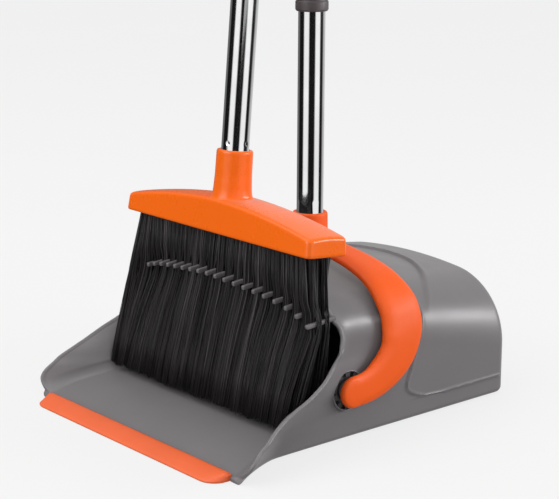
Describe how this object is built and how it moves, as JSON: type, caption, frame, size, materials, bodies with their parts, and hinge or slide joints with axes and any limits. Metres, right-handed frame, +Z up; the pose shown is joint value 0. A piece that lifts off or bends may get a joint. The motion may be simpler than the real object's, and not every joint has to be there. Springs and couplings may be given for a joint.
{
  "type": "dust pan and brush set",
  "caption": "Hooded grey dustpan with comb teeth, orange lip and swinging yoke on a long pole, with an upright orange-headed broom clipped to the pole.",
  "frame": {"origin": "on the floor, under the axis of the dustpan's upright pole, in the middle of the pan's width", "axes": "+Z up; the pan's mouth and lip face -Y; +X is across the pan"},
  "size_m": [0.3174, 0.3666, 1.341],
  "materials": {
    "pan_grey": "satin moulded",
    "lip_orange": "satin",
    "orange_plastic": "gloss moulded",
    "steel_tube": "polished",
    "dark_grey": "satin moulded",
    "bristle_black": "fine fibres"
  },
  "bodies": {
    "pan": {"pan_body": "pan_grey", "pan_lip": "lip_orange"},
    "handle": {"yoke": "orange_plastic", "pivot_cap_right": "orange_plastic", "pivot_cap_left": "orange_plastic", "pan_tube_lower": "steel_tube", "pan_tube_middle": "steel_tube", "pan_tube_upper": "steel_tube", "pan_coupler_lower": "dark_grey", "pan_coupler_upper": "dark_grey", "pan_grip": "dark_grey"},
    "clip": {"pole_clip": "orange_plastic"},
    "broom": {"broom_block": "orange_plastic", "bristles": "bristle_black", "broom_tube_1": "steel_tube", "broom_tube_2": "steel_tube", "broom_tube_3": "steel_tube", "broom_tube_4": "steel_tube", "broom_coupler_lower": "dark_grey", "broom_coupler_upper": "dark_grey", "broom_mid_grip": "dark_grey", "broom_top_grip": "dark_grey"}
  },
  "joints": [
    {"name": "handle_tilt", "type": "hinge", "parent": "pan", "child": "handle", "pos_m": [0, -0.0665, 0.047], "axis": [1, 0, 0], "range_deg": [0, 30], "deforming": ["bristles"]},
    {"name": "clip_slide", "type": "slide", "parent": "handle", "child": "clip", "axis": [0, 0, 1], "range_m": [0, 0.09]},
    {"name": "broom_unclip", "type": "slide", "parent": "clip", "child": "broom", "axis": [0, -0.9965, 0.0837], "range_m": [0, 0.12]}
  ]
}
